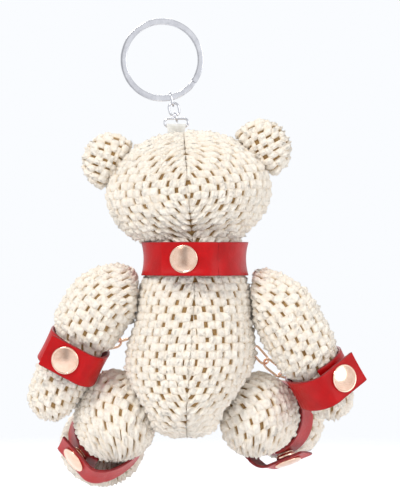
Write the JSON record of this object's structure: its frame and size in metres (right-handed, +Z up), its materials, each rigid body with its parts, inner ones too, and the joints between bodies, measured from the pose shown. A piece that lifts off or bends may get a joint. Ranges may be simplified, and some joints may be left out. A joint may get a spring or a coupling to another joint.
{
  "type": "plush keychain",
  "caption": "Stuffed bear in looped chenille with snap-fastened leather collar and cuffs, chained at the wrists, hung by a short chain from a split ring.",
  "frame": {"origin": "inside top of the split ring, where a hook or a finger holds it, on the ring's middle plane", "axes": "+Z up, -Y the way the bear faces, +X the bear's left, which the picture of its back shows on the left"},
  "size_m": [0.1225, 0.0712, 0.1709],
  "materials": {
    "cream_pile": "cream chenille woven in small puffs with tan gaps between them",
    "stuffing": "white polyester wadding, loose and matt",
    "red_leather": "smooth red leather with a soft sheen and painted edges",
    "rose_gold": "polished pale rose-gold plate",
    "silver": "polished nickel-chrome plate on steel wire",
    "white_satin": "white satin ribbon",
    "black_bead": "glossy black bead",
    "brown_thread": "dark brown satin-stitched thread"
  },
  "bodies": {
    "split_ring": {"split_ring": "silver"},
    "chain_link_1": {"chain_link_1": "silver"},
    "chain_link_2": {"chain_link_2": "silver"},
    "chain_link_3": {"chain_link_3": "silver"},
    "loop_ring": {"loop_ring": "silver"},
    "head": {"hanging_loop": "white_satin", "head_cover": "cream_pile", "head_stuffing": "stuffing", "ear_left": "cream_pile", "ear_right": "cream_pile", "muzzle": "cream_pile", "nose": "brown_thread", "eye_left": "black_bead", "eye_right": "black_bead"},
    "torso": {"torso_cover": "cream_pile", "torso_stuffing": "stuffing"},
    "collar": {"collar_wrap": "red_leather", "collar_snap_stud": "rose_gold"},
    "arm_left": {"arm_left": "cream_pile", "wrist_left_wrap": "red_leather", "wrist_left_snap_stud": "rose_gold", "wrist_staple_left": "rose_gold"},
    "arm_right": {"arm_right": "cream_pile", "wrist_right_wrap": "red_leather", "wrist_right_snap_stud": "rose_gold", "wrist_staple_right": "rose_gold"},
    "leg_left": {"leg_left": "cream_pile"},
    "leg_right": {"leg_right": "cream_pile"},
    "ankle_cuff_left": {"ankle_left_wrap": "red_leather", "ankle_left_snap_stud": "rose_gold"},
    "ankle_cuff_right": {"ankle_right_wrap": "red_leather", "ankle_right_snap_stud": "rose_gold"},
    "wrist_chain": {"wrist_chain_link_01": "rose_gold", "wrist_chain_link_02": "rose_gold", "wrist_chain_link_03": "rose_gold", "wrist_chain_link_04": "rose_gold", "wrist_chain_link_05": "rose_gold", "wrist_chain_link_06": "rose_gold", "wrist_chain_link_07": "rose_gold", "wrist_chain_link_08": "rose_gold", "wrist_chain_link_09": "rose_gold", "wrist_chain_link_10": "rose_gold", "wrist_chain_link_11": "rose_gold", "wrist_chain_link_12": "rose_gold"},
    "collar_flap": {"collar_flap": "red_leather", "collar_snap_cap": "rose_gold", "collar_snap_socket": "rose_gold"},
    "wrist_left_flap": {"wrist_left_flap": "red_leather", "wrist_left_snap_cap": "rose_gold", "wrist_left_snap_socket": "rose_gold"},
    "wrist_right_flap": {"wrist_right_flap": "red_leather", "wrist_right_snap_cap": "rose_gold", "wrist_right_snap_socket": "rose_gold"},
    "ankle_left_flap": {"ankle_left_flap": "red_leather", "ankle_left_snap_cap": "rose_gold", "ankle_left_snap_socket": "rose_gold"},
    "ankle_right_flap": {"ankle_right_flap": "red_leather", "ankle_right_snap_cap": "rose_gold", "ankle_right_snap_socket": "rose_gold"}
  },
  "joints": [
    {"name": "link_1_swing", "type": "hinge", "parent": "split_ring", "child": "chain_link_1", "pos_m": [-0.00288, 0, -0.0246], "axis": [0, 1, 0], "range_deg": [-30, 30]},
    {"name": "link_2_swing", "type": "hinge", "parent": "chain_link_1", "child": "chain_link_2", "pos_m": [-0.0038, 0, -0.02839], "axis": [1, 0, 0], "range_deg": [-30, 30]},
    {"name": "link_3_swing", "type": "hinge", "parent": "chain_link_2", "child": "chain_link_3", "pos_m": [-0.00463, 0, -0.03179], "axis": [0, 1, 0], "range_deg": [-30, 30]},
    {"name": "loop_ring_swing", "type": "hinge", "parent": "chain_link_3", "child": "loop_ring", "pos_m": [-0.00516, 0, -0.03398], "axis": [1, 0, 0], "range_deg": [-30, 30]},
    {"name": "bear_swing", "type": "hinge", "parent": "loop_ring", "child": "head", "pos_m": [-0.00516, 0, -0.03688], "axis": [1, 0, 0], "range_deg": [-30, 30]},
    {"name": "neck_turn", "type": "hinge", "parent": "head", "child": "torso", "pos_m": [-0.0118, 0.003, -0.0826], "axis": [0, 0, 1], "range_deg": [-25, 25], "stiffness_Nm_per_rad": 0.15},
    {"name": "collar_turn", "type": "hinge", "parent": "torso", "child": "collar", "pos_m": [-0.0118, 0.003, -0.0846], "axis": [0, 0, 1], "range_deg": [-20, 20]},
    {"name": "shoulder_left", "type": "hinge", "parent": "torso", "child": "arm_left", "pos_m": [0.009, 0.003, -0.098], "axis": [-1, 0, 0], "range_deg": [0, 40], "stiffness_Nm_per_rad": 0.12},
    {"name": "shoulder_right", "type": "hinge", "parent": "torso", "child": "arm_right", "pos_m": [-0.0326, 0.003, -0.098], "axis": [-1, 0, 0], "range_deg": [0, 40], "stiffness_Nm_per_rad": 0.12},
    {"name": "hip_left", "type": "hinge", "parent": "torso", "child": "leg_left", "pos_m": [0.016, -0.003, -0.1413], "axis": [-1, 0, 0], "range_deg": [-7, 7], "stiffness_Nm_per_rad": 0.2},
    {"name": "hip_right", "type": "hinge", "parent": "torso", "child": "leg_right", "pos_m": [-0.0338, -0.003, -0.1413], "axis": [-1, 0, 0], "range_deg": [-7, 7], "stiffness_Nm_per_rad": 0.2},
    {"name": "ankle_cuff_left_turn", "type": "hinge", "parent": "leg_left", "child": "ankle_cuff_left", "pos_m": [0.01987, -0.0183, -0.14886], "axis": [0.2211, -0.8743, -0.4321], "range_deg": [-12, 12]},
    {"name": "ankle_cuff_right_turn", "type": "hinge", "parent": "leg_right", "child": "ankle_cuff_right", "pos_m": [-0.04049, -0.01903, -0.14341], "axis": [-0.3825, -0.916, -0.1208], "range_deg": [-12, 12]},
    {"name": "collar_flap_open", "type": "hinge", "parent": "collar", "child": "collar_flap", "pos_m": [-0.01399, 0.0255, -0.0846], "axis": [0, 0, 1], "range_deg": [0, 90], "stiffness_Nm_per_rad": 0.01},
    {"name": "wrist_left_flap_open", "type": "hinge", "parent": "arm_left", "child": "wrist_left_flap", "pos_m": [0.02883, 0.01535, -0.12335], "axis": [-0.4421, 0.1751, 0.8797], "range_deg": [0, 90], "stiffness_Nm_per_rad": 0.01},
    {"name": "wrist_right_flap_open", "type": "hinge", "parent": "arm_right", "child": "wrist_right_flap", "pos_m": [-0.0605, 0.01777, -0.13022], "axis": [-0.481, -0.2346, -0.8447], "range_deg": [0, 90], "stiffness_Nm_per_rad": 0.01},
    {"name": "ankle_left_flap_open", "type": "hinge", "parent": "ankle_cuff_left", "child": "ankle_left_flap", "pos_m": [0.02834, -0.00948, -0.16237], "axis": [-0.2211, 0.8743, 0.4321], "range_deg": [0, 90], "stiffness_Nm_per_rad": 0.01},
    {"name": "ankle_right_flap_open", "type": "hinge", "parent": "ankle_cuff_right", "child": "ankle_right_flap", "pos_m": [-0.04078, -0.01653, -0.16146], "axis": [-0.3825, -0.916, -0.1208], "range_deg": [0, 90], "stiffness_Nm_per_rad": 0.01},
    {"name": "wrist_chain_swing", "type": "hinge", "parent": "arm_left", "child": "wrist_chain", "pos_m": [0.02967, -0.01379, -0.11758], "axis": [0.9899, -0.0492, 0.1328], "range_deg": [0, 40]}
  ],
  "couplings": [
    {"joint": "shoulder_right", "follows": "shoulder_left", "ratio": 1}
  ]
}
